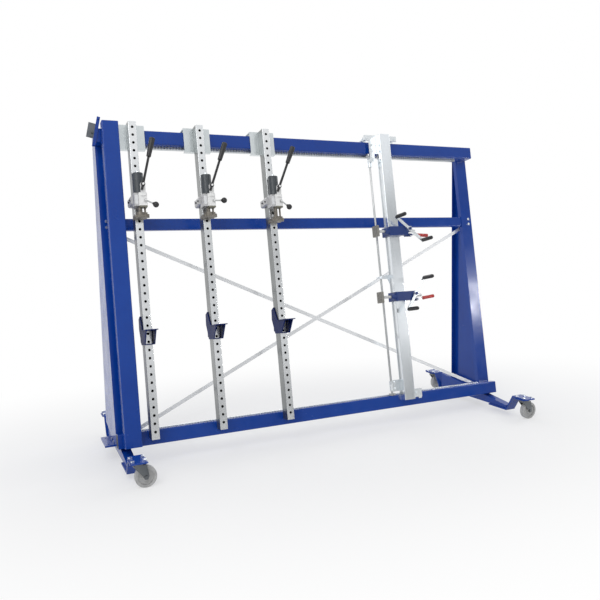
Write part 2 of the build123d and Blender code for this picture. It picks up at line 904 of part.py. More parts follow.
def press_head(x, drop):
    top = block_low - drop
    low = top - head_height
    plate_high = low + head_plate
    ram_high = block_high - ram_margin - (drop - head_margin)
    body = rod_z(ram_radius, x, press_depth, top - cut, ram_high)
    body = body + rod_z(guide_radius, x + guide_offset, press_depth, top - cut, ram_high)
    foot_plate = block(x - head_left, x + head_right, head_front, head_back, low, plate_high)
    foot_plate = fillet(foot_plate.edges().filter_by(Axis.Z), head_round)
    body = body + foot_plate + rod_z(column_radius, x, press_depth, plate_high, top)
    guide_front = press_depth - guide_block_half
    guide_back = press_depth + guide_block_half
    body = body + block(x + guide_block_left, x + head_right, guide_front, guide_back, plate_high, top)
    body = body + rod_z(head_lug, x + head_right, press_depth, low + head_lug_low, low + head_lug_high)
    ear_x = x - beam_width / 2 - slide_gap
    return body + block(ear_x - ear_thick, ear_x, ear_front, ear_back, low, low + ear_height)


def beam_support(x):
    outline = [
        (support_front, support_shelf),
        (support_front + support_toe, support_low),
        (beam_depth - fin_low_depth, support_low + fin_low_rise),
        (beam_depth + fin_back, support_shelf + fin_back_rise),
        (beam_depth + fin_top_back, support_shelf + fin_top_rise),
        (beam_depth - fin_tip_depth, support_shelf + fin_tip_rise),
        (fin_root, support_shelf),
    ]
    inner = beam_width / 2 + slide_gap
    outer = inner + support_sheet
    shelf_low = support_shelf - support_sheet
    body = plate_x(outline, x - outer, x - inner) + plate_x(outline, x + inner, x + outer)
    body = body + block(x - shelf_half, x + shelf_half, shelf_front, -slide_gap, shelf_low, support_shelf)
    floor_front = support_front + support_toe
    floor_high = support_low + support_sheet
    body = body + block(x - outer, x + outer, floor_front, -slide_gap, support_low, floor_high)
    strap_front = beam_depth + slide_gap
    strap_low = support_shelf - strap_fall
    return body + block(
        x - outer, x + outer, strap_front, strap_front + support_strap, strap_low, strap_low + strap_rise,
    )


for number, x in enumerate(beam_places):
    tail = "_" + str(number + 1)
    save(lean * press_beam(x), "press_beam" + tail)
    save(lean * beam_carriage(x), "beam_carriage" + tail)
    save(lean * press_block(x), "press_block" + tail)
    save(lean * press_cylinder(x), "press_cylinder" + tail)
    save(lean * pump_lever(x, lever_angles[number]), "pump_lever" + tail)
    save(lean * release_lever(x, release_angles[number]), "release_lever" + tail)
    save(lean * press_head(x, ram_drops[number]), "press_head" + tail)
    save(lean * beam_support(x), "beam_support" + tail)

# Movable post, in coordinates with x from the post centre
on_post = lean * Pos(post_x, 0, 0)
post = tube(0, post_width, post_depth, post_wall, post_low, post_high, post_round)
bore = shaft_radius + pin_gap
plate_back = post_depth + plate
steady_back = post_depth + steady_sheet
steady_left = shaft_offset - steady_block_wide
post = post + block(
    steady_left, -post_width / 2 + steady_lap, post_depth, steady_back,
    steady_height - steady_half, steady_height + steady_half,
)
strap_left = -post_width / 2 - strap_start
strap_high = steady_height - strap_from
strap_points = [
    (strap_left, strap_high),
    (strap_left + strap_wide, strap_high + strap_slant),
    (strap_left + strap_wide + strap_run, strap_high + strap_slant - strap_drop),
    (strap_left + strap_run, strap_high - strap_drop),
]
post = post + plate_y(strap_points, post_depth, steady_back)
steady_low = steady_height - steady_block_half
steady_high = steady_height + steady_block_half
post = post + block(
    shaft_offset - steady_block_wide, shaft_offset + steady_block_wide,
    post_depth, shaft_depth + steady_block_wall, steady_low, steady_high,
)
post = post - rod_z(bore, shaft_offset, shaft_depth, steady_low - cut, steady_high + cut)
tee_start = shaft_offset - steady_block_wide
post = post + rod_x(tee_radius, tee_start - tee_length, tee_start + cut, tee_depth, steady_height)
post = post + Pos(tee_start - tee_length, tee_depth, steady_height) * Sphere(tee_knob)
save(on_post * post, "post")

roller_height = top_rail_top + roller_radius + glide_gap
roller_front = rail_front + roller_inset
roller_back = roller_front + roller_width
beam_plate_low = top_rail_top + carriage_plate_rise
apron_low = beam_plate_low - apron_drop
tongue_low = apron_low - tongue_drop
apron_start = shaft_offset - apron_left
top_plate = block(
    -carriage_plate_half, carriage_plate_half, post_depth, plate_back,
    beam_plate_low, beam_plate_low + carriage_plate_height,
)
top_plate = top_plate + block(apron_start, apron_right, post_depth, plate_back, apron_low, beam_plate_low)
tongue_right = shaft_offset + tongue_half
top_plate = top_plate + block(apron_start, tongue_right, post_depth, plate_back, tongue_low, apron_low)
bridge_low = tongue_low + bridge_rise
top_plate = top_plate + block(
    shaft_offset - bridge_half, shaft_offset + bridge_half, post_depth, shaft_depth - bridge_inset,
    bridge_low, bridge_low + bridge_height,
)
sleeve_high = bridge_low + bridge_height + bridge_rise
sleeve_low = sleeve_high - sleeve_length
top_plate = top_plate + rod_z(sleeve_radius, shaft_offset, shaft_depth, sleeve_low, sleeve_high)
top_plate = top_plate - rod_z(bore, shaft_offset, shaft_depth, sleeve_low - cut, sleeve_high + cut)
collar_back = roller_front - roller_collar_gap
cap_front = roller_back + roller_collar_gap
for roller_x in (-roller_offset, roller_offset):
    top_plate = top_plate + rod_y(roller_axle, roller_x, post_depth, cap_front + cut, roller_height)
    top_plate = top_plate + rod_y(roller_collar, roller_x, cap_front, cap_front + roller_cap, roller_height)
    top_plate = top_plate + rod_y(roller_collar, roller_x, plate_back, collar_back, roller_height)
save(on_post * top_plate, "post_carriage")

roller = rod_y(roller_radius, 0, roller_front, roller_back, 0)
roller = roller - rod_y(roller_axle + pin_gap, 0, roller_front - cut, roller_back + cut, 0)
save(on_post * Pos(-roller_offset, 0, roller_height) * roller, "post_roller_left")
save(on_post * Pos(roller_offset, 0, roller_height) * roller, "post_roller_right")

guide_end = rail_front - glide_gap
guide_middle = guide_low + guide_step
guide_high = guide_middle + guide_height
guide = block(shaft_offset - guide_sleeve_side, apron_right, post_depth, plate_back, guide_middle, guide_high)
guide = guide + block(-guide_left, guide_right, post_depth, plate_back, guide_low, guide_middle)
wide_low = guide_low - wide_pad_below
guide = guide + block(
    guide_right - wide_pad, guide_right, plate_back, guide_end, wide_low, wide_low + wide_pad_height,
)
guide = guide + block(
    -narrow_pad_left, -narrow_pad_left + narrow_pad, plate_back, guide_end,
    guide_low, guide_low + narrow_pad_height,
)
guide_bridge_low = guide_middle + guide_bridge_rise
guide = guide + block(
    shaft_offset - guide_bridge_half, shaft_offset + guide_bridge_half,
    post_depth, shaft_depth - bridge_inset,
    guide_bridge_low, guide_bridge_low + guide_bridge_height,
)
guide_sleeve_high = guide_middle + guide_sleeve_rise
guide = guide + rod_z(guide_sleeve, shaft_offset, shaft_depth, guide_middle, guide_sleeve_high)
guide = guide - rod_z(bore, shaft_offset, shaft_depth, guide_middle - cut, guide_sleeve_high + cut)
save(on_post * guide, "post_guide")

# Synchronising shaft with a pinion at each rack
pinion_tip = rack_tip - shaft_depth - rack_gap
pinion_root = pinion_tip - pinion_tooth
pinion_points = []
for tooth in range(pinion_teeth):
    for share, radius in ((0.0, pinion_tip), (0.25, pinion_tip), (0.45, pinion_root), (0.8, pinion_root)):
        turn = 2 * math.pi * (tooth + share) / pinion_teeth
        pinion_points.append((radius * math.cos(turn), radius * math.sin(turn)))
shaft_low = low_rail_top + shaft_gap
shaft_high = top_rail_bottom - shaft_gap
shaft = rod_z(shaft_radius, 0, 0, shaft_low, shaft_high)
shaft = shaft + plate_z(pinion_points, shaft_low, shaft_low + pinion_width)
shaft = shaft + plate_z(pinion_points, shaft_high - pinion_width, shaft_high)
save(on_post * Pos(shaft_offset, shaft_depth, 0) * shaft, "sync_shaft")


# Clamps, in coordinates with the rod axis at height zero
crank_back = body_front - crank_hub_gap
crank_front = crank_back - crank_hub_length
red_back = arm_back - red_lug_thick - red_lug_gap
red_front = red_back - 2 * red_hub_half
red_middle = (red_back + red_front) / 2


def clamp_body():
    hollow_x = post_width / 2 + slide_gap
    body_back = post_depth + slide_gap + body_wall_back
    body = block(-clamp_side, clamp_side, body_front, body_back, -body_half, body_half)
    body = fillet(body.edges().filter_by(Axis.Z), body_round)
    arm_points = [
        (arm_start, -body_half), (arm_end - arm_slant, -body_half), (arm_end, arm_shoulder),
        (arm_end, body_half), (arm_start, body_half),
    ]
    body = body + plate_y(arm_points, body_front, arm_back)
    body = body + rod_x(boss_radius, -clamp_side - boss_length, -clamp_side + cut, rod_depth, 0)
    body = body - block(
        -hollow_x, hollow_x, -slide_gap, post_depth + slide_gap, -body_half - cut, body_half + cut,
    )
    body = body - rod_x(rod_radius + pin_gap, -clamp_side - boss_length - cut, arm_end + cut, rod_depth, 0)
    lug_back = arm_back - red_lug_thick
    body = body + block(
        red_x - red_lug_left, red_x + red_lug_right, lug_back, arm_back,
        red_drop - red_lug_half, red_drop + red_lug_half,
    )
    body = body + rod_y(red_pin, red_x, red_front - red_lug_gap - cut, lug_back + cut, red_drop)
    head_back = red_front - red_lug_gap
    body = body + rod_y(red_pin_head, red_x, head_back - red_pin_head_high, head_back, red_drop)
    cap_back = crank_front - crank_hub_gap
    body = body + rod_y(crank_pin, crank_x, cap_back - cut, body_front + cut, crank_rise)
    return body + rod_y(crank_cap, crank_x, cap_back - crank_cap_high, cap_back, crank_rise)


def clamp_rod(face):
    pad_back = face + pad_thick
    body = rod_x(rod_radius, pad_back - cut, rod_end, rod_depth, 0)
    pad = block(
        face, pad_back, rod_depth - pad_half_deep, rod_depth + pad_half_deep, -pad_half_high, pad_half_high,
    )
    body = body + fillet(pad.edges().filter_by(Axis.X), pad_round)
    return body + rod_x(collar_radius, pad_back, pad_back + collar_length, rod_depth, 0)


def clamp_crank(angle):
    body = rod_y(crank_hub, 0, crank_front, crank_back, 0)
    bar_back = crank_back - crank_bar_inset
    bar_front = bar_back - crank_bar
    bar_end = crank_half + crank_half_wide
    body = body + block(-bar_end, bar_end, bar_front, bar_back, -crank_half_wide, crank_half_wide)
    for end in (-crank_half, crank_half):
        grip = rod_y(crank_grip_radius, end, bar_front - crank_grip, bar_front + cut, 0)
        body = body + fillet(grip.edges().sort_by(Axis.Y)[0], crank_grip_round)
    body = body - rod_y(crank_pin + pin_gap, 0, crank_front - cut, crank_back + cut, 0)
    return Pos(crank_x, 0, crank_rise) * Rot(0, -angle, 0) * body


def clamp_lever(angle):
    body = rod_y(red_hub, 0, red_front, red_back, 0)
    bar_end = red_grip_start + red_socket
    body = body + block(
        0, bar_end, red_middle - red_half_thick, red_middle + red_half_thick, -red_half_wide, red_half_wide,
    )
    grip = rod_x(red_grip, red_grip_start, red_reach, red_middle, 0)
    body = body + fillet(grip.edges().sort_by(Axis.X)[-1], red_grip_round)
    body = body - rod_y(red_pin + pin_gap, 0, red_front - cut, red_back + cut, 0)
    return Pos(red_x, 0, red_drop) * Rot(0, -angle, 0) * body


for number, name in enumerate(clamp_names):
    place = on_post * Pos(0, 0, clamp_heights[number])
    save(place * clamp_body(), "clamp_body_" + name)
    save(place * clamp_rod(pad_faces[number]), "clamp_rod_" + name)
    save(place * clamp_crank(crank_angles[number]), "clamp_crank_" + name)
    save(place * clamp_lever(red_angles[number]), "clamp_lever_" + name)
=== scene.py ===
# %% [markdown]
# The object is a leaning press frame on castors. The imported CAD model is loaded as a fixed frame.
# Every measure below is in metres and in the same axes as the CAD model: X along the rails,
# minus Y towards the worker, Z up.

# %% Load the imported frame
import math
import bmesh
import bpy
from mathutils import Matrix, Vector


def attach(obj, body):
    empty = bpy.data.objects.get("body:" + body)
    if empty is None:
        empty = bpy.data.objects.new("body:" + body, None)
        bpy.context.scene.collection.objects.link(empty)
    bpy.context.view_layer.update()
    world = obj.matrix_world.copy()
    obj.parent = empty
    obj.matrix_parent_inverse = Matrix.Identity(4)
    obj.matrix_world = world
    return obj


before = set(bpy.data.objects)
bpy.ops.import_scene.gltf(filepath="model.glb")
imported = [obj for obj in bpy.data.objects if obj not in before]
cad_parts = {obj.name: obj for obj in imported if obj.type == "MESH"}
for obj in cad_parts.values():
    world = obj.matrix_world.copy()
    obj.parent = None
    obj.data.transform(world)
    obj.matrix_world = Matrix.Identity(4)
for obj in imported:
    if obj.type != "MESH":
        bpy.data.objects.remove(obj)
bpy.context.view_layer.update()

# %% [markdown]
# The beams, rails and presses stand on a plane that leans back. Places on it are easiest to say as
# a place along the rail, a depth behind the beam fronts and a height along the beams, in millimetres.
# One small helper turns such a place into the frame's own axes, so nothing has to be fitted by eye.

# %% Lean coordinates
LEAN = math.radians(9.6)
LEAN_FOOT_Y = -317.5
UP_BEAM = Vector((0, math.sin(LEAN), math.cos(LEAN)))
BACKWARD = Vector((0, math.cos(LEAN), -math.sin(LEAN)))
FORWARD = -BACKWARD
ALONG = Vector((1, 0, 0))


def on_lean(x, depth, height):
    place = Vector((x, LEAN_FOOT_Y, 0)) + BACKWARD * depth + UP_BEAM * height
    return place / 1000


def lean_place(point):
    away = point * 1000 - Vector((0, LEAN_FOOT_Y, 0))
    return away.x, away.dot(BACKWARD), away.dot(UP_BEAM)


beam_places = (-1264, -830, -363)
post_place = 595
clamps = {"upper": (1436, -180, 140, -3), "lower": (953, -195, 55, 6)}
castors = {"fl": (-1, -1), "fr": (1, -1), "rl": (-1, 1), "rr": (1, 1)}
print("beams at", beam_places, "post at", post_place)

# %% [markdown]
# The camera stands to the front left, a little above the middle. Its place, lens and slight roll were
# worked out from the rows of holes in the beams, so the render can be laid beside the photograph.

# %% Camera
CAMERA_PLACE = Vector((-2.027, -4.0695, 1.370))
YAW, PITCH, ROLL = (math.radians(a) for a in (24.78, 5.42, 1.18))
ahead = Vector((math.sin(YAW) * math.cos(PITCH), math.cos(YAW) * math.cos(PITCH), -math.sin(PITCH)))
level = Vector((math.cos(YAW), -math.sin(YAW), 0))
downward = ahead.cross(level)
right = math.cos(ROLL) * level + math.sin(ROLL) * downward
down = -math.sin(ROLL) * level + math.cos(ROLL) * downward
camera_data = bpy.data.cameras.new("photo_camera")
camera_data.sensor_width = 36
camera_data.lens = 37.96
camera = bpy.data.objects.new("photo_camera", camera_data)
turn = Matrix((right, -down, -ahead)).transposed()
camera.matrix_world = Matrix.Translation(CAMERA_PLACE) @ turn.to_4x4()
bpy.context.collection.objects.link(camera)
bpy.context.scene.camera = camera
print("camera lens", camera_data.lens)

# %% [markdown]
# The studio is plain: a pale floor, a white surround and three soft lamps. Close to the object the floor
# is ordinary matt paint and takes its shadow. Further away it fades to the white of the surround, for the
# camera and for reflections, so that no grey horizon shows and no extra light falls on the object.

# %% Floor
bpy.context.scene.view_settings.view_transform = "Standard"


def add_node(tree, kind, **inputs):
    node = tree.nodes.new(kind)
    for name, value in inputs.items():
        node.inputs[name.replace("_", " ")].default_value = value
    return node


def ranged(tree, value, source, target, smooth=False):
    node = tree.nodes.new("ShaderNodeMapRange")
    node.interpolation_type = "SMOOTHSTEP" if smooth else "LINEAR"
    for index, number in enumerate((*source, *target)):
        node.inputs[index + 1].default_value = number
    tree.links.new(value, node.inputs[0])
    return node.outputs[0]


def maths(tree, operation, first, second):
    node = tree.nodes.new("ShaderNodeMath")
    node.operation = operation
    for socket, value in zip(node.inputs, (first, second)):
        if isinstance(value, (int, float)):
            socket.default_value = value
        else:
            tree.links.new(value, socket)
    return node.outputs[0]


def blend_colour(tree, factor, first, second):
    node = tree.nodes.new("ShaderNodeMix")
    node.data_type = "RGBA"
    tree.links.new(factor, node.inputs["Factor"])
    for socket, colour in ((node.inputs[6], first), (node.inputs[7], second)):
        if isinstance(colour, tuple):
            socket.default_value = (*colour, 1)
        else:
            tree.links.new(colour, socket)
    return node.outputs[2]


floor_mesh = bpy.data.meshes.new("studio_floor")
floor_mesh.from_pydata([(-40, -40, 0), (40, -40, 0), (40, 40, 0), (-40, 40, 0)], [], [(0, 1, 2, 3)])
studio_floor = bpy.data.objects.new("studio_floor", floor_mesh)
bpy.context.collection.objects.link(studio_floor)
floor_finish = bpy.data.materials.new("pale_floor")
floor_finish.use_nodes = True
floor_tree = floor_finish.node_tree
floor_shader = floor_tree.nodes["Principled BSDF"]
floor_shader.inputs["Base Color"].default_value = (0.93, 0.93, 0.93, 1)
floor_shader.inputs["Roughness"].default_value = 0.9
floor_shader.inputs["Specular IOR Level"].default_value = 0.0
where = floor_tree.nodes.new("ShaderNodeTexCoord")
narrowed = floor_tree.nodes.new("ShaderNodeMapping")
narrowed.inputs["Scale"].default_value = (0.6, 1.0, 1.0)
distance = floor_tree.nodes.new("ShaderNodeVectorMath")
distance.operation = "LENGTH"
floor_tree.links.new(where.outputs["Object"], narrowed.inputs["Vector"])
floor_tree.links.new(narrowed.outputs["Vector"], distance.inputs[0])
far = ranged(floor_tree, distance.outputs["Value"], (0.8, 2.6), (0.5, 1.0), True)
floor_path = floor_tree.nodes.new("ShaderNodeLightPath")
looked_at = floor_path.outputs["Is Camera Ray"]
for ray in ("Is Glossy Ray", "Is Transmission Ray"):
    looked_at = maths(floor_tree, "MAXIMUM", looked_at, floor_path.outputs[ray])
seen_far = maths(floor_tree, "MULTIPLY", far, looked_at)
white = add_node(floor_tree, "ShaderNodeEmission", Color=(1, 1, 1, 1), Strength=1.0)
fade = floor_tree.nodes.new("ShaderNodeMixShader")
floor_tree.links.new(seen_far, fade.inputs[0])
floor_tree.links.new(floor_shader.outputs[0], fade.inputs[1])
floor_tree.links.new(white.outputs[0], fade.inputs[2])
floor_tree.links.new(fade.outputs[0], floor_tree.nodes["Material Output"].inputs[0])
floor_mesh.materials.append(floor_finish)
print("floor", [round(v, 1) for v in studio_floor.dimensions])

# %% [markdown]
# Plated steel is only as good as what it mirrors. The surround is white to the camera, and the backdrop is
# white to reflections too. In front of the object they meet a studio wall, grey near the ground, then with a
# light band, a greyer one, and white from there up. The bands are stronger on the right. The leaning fronts
# mirror a low strip of that wall, so the beams get the light and dark stretches of the photograph.

# %% Surround
world = bpy.data.worlds.new("white_surround")
bpy.context.scene.world = world
world.use_nodes = True
sky = world.node_tree
sky.nodes.clear()
seen = add_node(sky, "ShaderNodeBackground", Color=(1, 1, 1, 1), Strength=1.0)
lighting = add_node(sky, "ShaderNodeBackground", Color=(0.97, 0.98, 1, 1), Strength=0.58)
mirrored = add_node(sky, "ShaderNodeBackground", Strength=1.0)
direction = sky.nodes.new("ShaderNodeTexCoord")
split = sky.nodes.new("ShaderNodeSeparateXYZ")
sky.links.new(direction.outputs["Generated"], split.inputs[0])


def banded_wall(bands):
    wall = sky.nodes.new("ShaderNodeValToRGB")
    for index, (height, level_of_white) in enumerate(bands):
        stop = wall.color_ramp.elements[0] if index == 0 else wall.color_ramp.elements.new(height)
        stop.color = (level_of_white * 0.98, level_of_white * 0.99, level_of_white, 1)
    sky.links.new(split.outputs["Z"], wall.inputs[0])
    return wall.outputs[0]


left_wall = banded_wall(((0.0, 0.30), (0.06, 0.40), (0.10, 0.62), (0.13, 0.85), (0.20, 0.90), (0.26, 0.72),
                         (0.29, 0.70), (0.33, 0.85), (0.37, 1.0)))
right_wall = banded_wall(((0.0, 0.15), (0.04, 0.18), (0.08, 0.38), (0.12, 0.85), (0.15, 1.0), (0.18, 0.95),
                          (0.23, 0.60), (0.27, 0.42), (0.305, 0.20), (0.33, 0.45), (0.36, 0.95), (0.40, 1.0)))
to_the_right = ranged(sky, split.outputs["X"], (0.17, 0.45), (0.0, 1.0), True)
wall = blend_colour(sky, to_the_right, left_wall, right_wall)
behind = ranged(sky, split.outputs["Y"], (-0.1, 0.4), (0.0, 1.0), True)
sky.links.new(blend_colour(sky, behind, wall, (1.0, 1.0, 1.0)), mirrored.inputs["Color"])
path = sky.nodes.new("ShaderNodeLightPath")
clear_view = maths(sky, "MAXIMUM", path.outputs["Is Camera Ray"], path.outputs["Is Transmission Ray"])
blend_gloss = sky.nodes.new("ShaderNodeMixShader")
blend_seen = sky.nodes.new("ShaderNodeMixShader")
sky_out = sky.nodes.new("ShaderNodeOutputWorld")
sky.links.new(path.outputs["Is Glossy Ray"], blend_gloss.inputs[0])
sky.links.new(lighting.outputs[0], blend_gloss.inputs[1])
sky.links.new(mirrored.outputs[0], blend_gloss.inputs[2])
sky.links.new(clear_view, blend_seen.inputs[0])
sky.links.new(blend_gloss.outputs[0], blend_seen.inputs[1])
sky.links.new(seen.outputs[0], blend_seen.inputs[2])
sky.links.new(blend_seen.outputs[0], sky_out.inputs[0])
print("surround nodes", len(sky.nodes))

# %% [markdown]
# Three large soft lamps light the object from places that the leaning fronts don't mirror. One small
# pane stands where the right leg does mirror it. It gives no diffuse light, and only draws the pale
# gloss streak that tells enamel from matt paint.

# %% Lamps


def soft_lamp(name, place, aim, size, power):
    data = bpy.data.lights.new(name, "AREA")
    data.size = size
    data.energy = power
    lamp = bpy.data.objects.new(name, data)
    facing = (Vector(aim) - Vector(place)).to_track_quat("-Z", "Y")
    lamp.matrix_world = Matrix.Translation(place) @ facing.to_matrix().to_4x4()
    bpy.context.collection.objects.link(lamp)
    return lamp


soft_lamp("front_lamp", (-4.0, -3.5, 5.0), (0, 0, 1.0), 3.5, 110)
soft_lamp("right_lamp", (5.5, 0.5, 4.5), (0.5, 0, 1.0), 3.0, 60)
soft_lamp("back_lamp", (0.5, 5.0, 4.0), (0, 0, 1.2), 4.0, 55)
leg_pane = soft_lamp("leg_pane", (5.33, -4.57, 1.84), (1.44, -0.1, 0.9), 0.5, 40)
leg_pane.visible_diffuse = False

# %% [markdown]
# Two families of finish cover most of the frame. Enamel is a thick gloss paint with a faint orange
# peel and a little wear where edges get knocked. Plating is a bright zinc skin with cloudy patches and
# fine drawn lines. Both are written once as a function, so each colour differs only in a few numbers.

# %% Finishes: shared nodes


def new_finish(name):
    finish = bpy.data.materials.new(name)
    finish.use_nodes = True
    tree = finish.node_tree
    return finish, tree, tree.nodes["Principled BSDF"]


def clouds(tree, scale, detail=4.0, stretch=(1, 1, 1)):
    place = tree.nodes.new("ShaderNodeTexCoord")
    mapping = tree.nodes.new("ShaderNodeMapping")
    mapping.inputs["Scale"].default_value = stretch
    noise = add_node(tree, "ShaderNodeTexNoise", Scale=scale, Detail=detail, Roughness=0.6)
    tree.links.new(place.outputs["Object"], mapping.inputs["Vector"])
    tree.links.new(mapping.outputs["Vector"], noise.inputs["Vector"])
    return noise.outputs["Fac"]


def spread(tree, value, low, high, source=(0.3, 0.7)):
    return ranged(tree, value, source, (low, high))


def edge_wear(tree, width, breakup):
    bevel = tree.nodes.new("ShaderNodeBevel")
    bevel.samples = 4
    bevel.inputs["Radius"].default_value = width
    facing = tree.nodes.new("ShaderNodeNewGeometry")
    dot = tree.nodes.new("ShaderNodeVectorMath")
    dot.operation = "DOT_PRODUCT"
    tree.links.new(bevel.outputs[0], dot.inputs[0])
    tree.links.new(facing.outputs["Normal"], dot.inputs[1])
    edge = spread(tree, dot.outputs["Value"], 1.0, 0.0, (0.72, 0.99))
    patch = spread(tree, clouds(tree, breakup, 6), 0.0, 1.0, (0.45, 0.7))
    return maths(tree, "MULTIPLY", edge, patch)


def surface_bump(tree, shader, height, strength, distance):
    bump = add_node(tree, "ShaderNodeBump", Strength=strength, Distance=distance)
    tree.links.new(height, bump.inputs["Height"])
    tree.links.new(bump.outputs[0], shader.inputs["Normal"])


print("finish helpers ready")

# %% Finishes: enamel, plating, casting and moulded grips


def enamel(name, deep, bright, worn, rough=0.2, specular=0.4):
    finish, tree, shader = new_finish(name)
    body = blend_colour(tree, spread(tree, clouds(tree, 2.5), 0.0, 1.0), deep, bright)
    colour = blend_colour(tree, edge_wear(tree, 0.0025, 35), body, worn)
    tree.links.new(colour, shader.inputs["Base Color"])
    gloss = spread(tree, clouds(tree, 9), rough - 0.05, rough + 0.08)
    tree.links.new(gloss, shader.inputs["Roughness"])
    surface_bump(tree, shader, clouds(tree, 420, 2), 0.06, 0.0004)
    shader.inputs["Specular IOR Level"].default_value = specular
    shader.inputs["Coat Weight"].default_value = 0.1
    shader.inputs["Coat Roughness"].default_value = 0.12
    return finish


def plating(name, dull, bright, rough, stretch=(1, 1, 1), metal=0.9, grain=0.1):
    finish, tree, shader = new_finish(name)
    patch = blend_colour(tree, spread(tree, clouds(tree, 5), 0.0, 1.0), dull, bright)
    lines = spread(tree, clouds(tree, 160, 3, stretch), 0.0, grain)
    darker = tuple(0.86 * c for c in dull)
    lined = blend_colour(tree, lines, patch, darker)
    colour = blend_colour(tree, edge_wear(tree, 0.0012, 60), lined, tuple(min(1, 1.1 * c) for c in bright))
    tree.links.new(colour, shader.inputs["Base Color"])
    shader.inputs["Metallic"].default_value = metal
    sheen = spread(tree, clouds(tree, 30, 5, stretch), rough - 0.02, rough + 0.02)
    tree.links.new(sheen, shader.inputs["Roughness"])
    surface_bump(tree, shader, clouds(tree, 240, 3, stretch), 0.02, 0.0001)
    return finish


def casting(name, dark, light, rough, metal=0.5):
    finish, tree, shader = new_finish(name)
    grain = spread(tree, clouds(tree, 90, 8), 0.0, 1.0)
    body = blend_colour(tree, grain, dark, light)
    rubbed = tuple(min(1, 1.8 * c + 0.03) for c in light)
    colour = blend_colour(tree, edge_wear(tree, 0.0018, 50), body, rubbed)
    tree.links.new(colour, shader.inputs["Base Color"])
    shader.inputs["Metallic"].default_value = metal
    tree.links.new(spread(tree, clouds(tree, 40), rough - 0.08, rough + 0.1), shader.inputs["Roughness"])
    surface_bump(tree, shader, clouds(tree, 700, 6), 0.18, 0.0004)
    return finish


def moulding(name, deep, bright, rough):
    finish, tree, shader = new_finish(name)
    body = blend_colour(tree, spread(tree, clouds(tree, 25, 5), 0.0, 1.0), deep, bright)
    handled = tuple(min(1, 1.5 * c + 0.02) for c in bright)
    colour = blend_colour(tree, edge_wear(tree, 0.0015, 70), body, handled)
    tree.links.new(colour, shader.inputs["Base Color"])
    tree.links.new(spread(tree, clouds(tree, 60), rough - 0.08, rough + 0.08), shader.inputs["Roughness"])
    surface_bump(tree, shader, clouds(tree, 900, 4), 0.12, 0.0003)
    return finish


upright = (1, 1, 0.04)
lengthwise = (0.04, 1, 1)
frame_blue = enamel("frame_blue_enamel", (0.002, 0.044, 0.300), (0.005, 0.058, 0.350),
                    (0.05, 0.14, 0.47), 0.2, 0.32)
# Painted shade: the blue enamel darkened, with almost no gloss, for the supports in shade.
support_blue_painted_shade = enamel("support_enamel_painted_shade", (0.001, 0.010, 0.085), (0.002, 0.016, 0.120),
                      (0.02, 0.04, 0.17), 0.4, 0.05)
clamp_blue = enamel("clamp_blue_enamel", (0.006, 0.030, 0.165), (0.010, 0.044, 0.215),
                    (0.07, 0.12, 0.33), 0.3)
beam_zinc = plating("beam_zinc", (0.74, 0.76, 0.77), (0.83, 0.84, 0.85), 0.2, upright, 0.9, 0.15)
# Painted shade: a much darker copy of the beam zinc, for the beam sides turned away from the light.
side_zinc_painted_shade = plating("side_zinc_painted_shade", (0.20, 0.21, 0.21), (0.29, 0.30, 0.30), 0.3, upright, 0.9, 0.15)
post_zinc = plating("post_zinc", (0.80, 0.84, 0.87), (0.88, 0.91, 0.94), 0.18, upright, 0.9, 0.15)
# Painted highlight: the zinc of the braces, brightened above the beam zinc to stand for the white glare on
# them.
brace_zinc_painted_highlight = plating("brace_zinc_painted_highlight", (0.86, 0.87, 0.88), (0.92, 0.93, 0.94), 0.24, metal=0.5)
plate_zinc = plating("plate_zinc", (0.74, 0.78, 0.80), (0.84, 0.87, 0.89), 0.26)
carriage_zinc = plating("carriage_zinc", (0.58, 0.62, 0.63), (0.72, 0.76, 0.77), 0.24, upright)
rack_zinc = plating("rack_zinc", (0.50, 0.53, 0.55), (0.68, 0.70, 0.71), 0.4, lengthwise)
# Painted shade: zinc darkened far below its own colour, for the forks in the shade under the feet.
fork_zinc = plating("fork_zinc", (0.11, 0.12, 0.13), (0.20, 0.21, 0.22), 0.34)
rod_steel = plating("rod_steel", (0.46, 0.47, 0.47), (0.62, 0.63, 0.63), 0.3)
# Painted shadow: near-black for the inside faces of the beam tubes, standing in for the shade in there.
painted_shade_inside = moulding("painted_shade_inside", (0.010, 0.010, 0.010), (0.022, 0.022, 0.022), 0.8)
bolt_dark = casting("bolt_dark", (0.030, 0.030, 0.032), (0.060, 0.060, 0.064), 0.4, 0.6)
olive_plate = casting("olive_plate", (0.16, 0.155, 0.12), (0.26, 0.25, 0.20), 0.45, 0.5)
bracket_grey = plating("bracket_grey", (0.11, 0.12, 0.13), (0.20, 0.21, 0.23), 0.4)
line_zinc = plating("line_zinc", (0.70, 0.73, 0.75), (0.84, 0.86, 0.88), 0.36)
jaw_grey = casting("jaw_grey", (0.46, 0.46, 0.465), (0.60, 0.60, 0.605), 0.4, 0.5)
block_alloy = casting("block_alloy", (0.86, 0.86, 0.85), (0.93, 0.93, 0.92), 0.4, 0.15)
head_iron = casting("head_iron", (0.13, 0.118, 0.100), (0.28, 0.255, 0.22), 0.5, 0.5)
cylinder_grey = enamel("cylinder_grey_enamel", (0.040, 0.048, 0.055), (0.075, 0.085, 0.095),
                       (0.3, 0.31, 0.32), 0.36)
pad_brown = casting("pad_brown", (0.175, 0.168, 0.15), (0.31, 0.30, 0.275), 0.55, 0.4)
grip_black = moulding("grip_black", (0.010, 0.010, 0.011), (0.022, 0.022, 0.024), 0.42)
grip_red = moulding("grip_red", (0.42, 0.018, 0.014), (0.62, 0.035, 0.025), 0.34)
# Pale nylon darkened to the grey of its shaded side: the wheel's own colour with painted shade in it.
wheel_nylon = moulding("wheel_nylon", (0.38, 0.38, 0.375), (0.50, 0.50, 0.49), 0.45)
label_pale = moulding("label_pale", (0.72, 0.73, 0.74), (0.84, 0.85, 0.86), 0.4)
print("finishes", len(bpy.data.materials))

# %% [markdown]
# Each CAD solid keeps its shape and only takes a finish. The press cylinder, cranks and red levers are
# single solids of two materials on the real press, so the solid takes the metal and the grips or caps
# are modelled over it further down.

